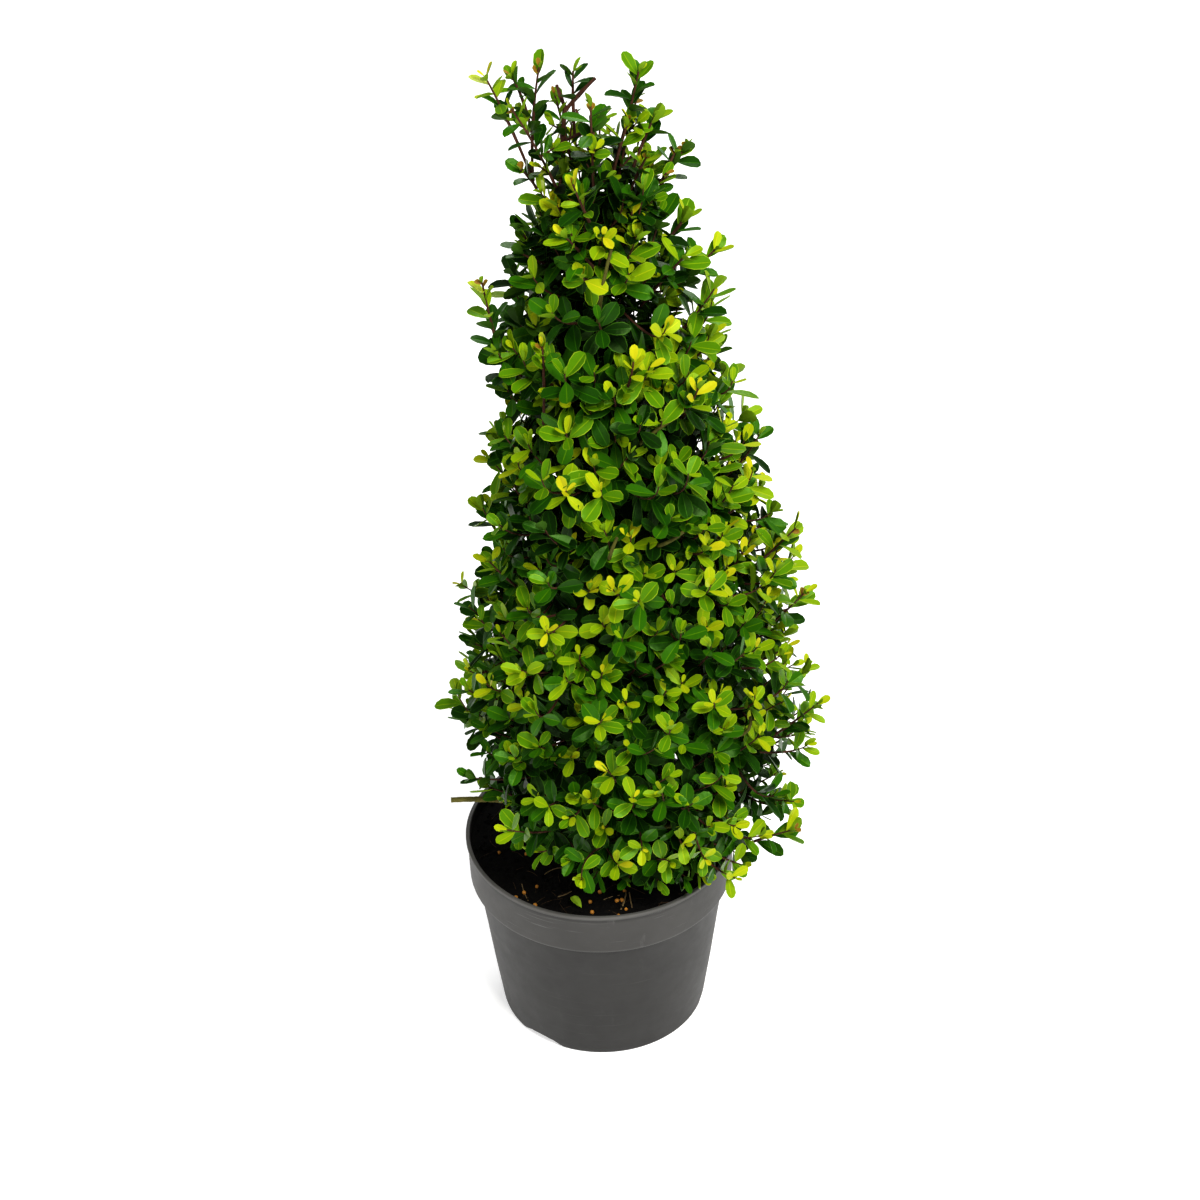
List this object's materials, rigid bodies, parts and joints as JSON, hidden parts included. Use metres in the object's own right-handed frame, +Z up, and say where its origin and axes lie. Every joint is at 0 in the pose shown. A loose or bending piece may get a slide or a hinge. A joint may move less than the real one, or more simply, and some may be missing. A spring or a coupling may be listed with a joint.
{
  "type": "potted japanese holly cone topiary",
  "caption": "Small-leaved Japanese holly grown as a loose, lightly clipped cone, in a round grey nursery pot.",
  "frame": {"origin": "centre of the pot's flat underside", "axes": "+Z up the plant; +X to the viewer's right and -Y towards the viewer in the front view"},
  "size_m": [0.2662, 0.2555, 0.7422],
  "materials": {
    "pot_plastic": "matt, lightly scuffed",
    "soil": "crumbly, dull",
    "bark": "fine bark",
    "foliage": "glossy leaves"
  },
  "bodies": {
    "root": {"bough_lower_1": "bark", "bough_lower_2": "bark", "bough_lower_3": "bark", "bough_lower_4": "bark", "bough_lower_5": "bark", "bough_middle_1": "bark", "bough_middle_2": "bark", "bough_middle_3": "bark", "bough_middle_4": "bark", "bough_skirt_1": "bark", "bough_skirt_2": "bark", "bough_skirt_3": "bark", "bough_skirt_4": "bark", "bough_skirt_5": "bark", "bough_upper_1": "bark", "bough_upper_2": "bark", "bough_upper_3": "bark", "lower_1": "foliage", "lower_2": "foliage", "lower_3": "foliage", "lower_4": "foliage", "lower_5": "foliage", "main_stem": "bark", "middle_1": "foliage", "middle_2": "foliage", "middle_3": "foliage", "middle_4": "foliage", "pot": "pot_plastic", "pruned_branch": "bark", "skirt_1": "foliage", "skirt_2": "foliage", "skirt_3": "foliage", "skirt_4": "foliage", "skirt_5": "foliage", "soil": "soil", "top_1": "foliage", "top_2": "foliage", "top_3": "foliage", "top_4": "foliage", "top_5": "foliage", "top_6": "foliage", "upper_1": "foliage", "upper_2": "foliage", "upper_3": "foliage"}
  },
  "joints": []
}
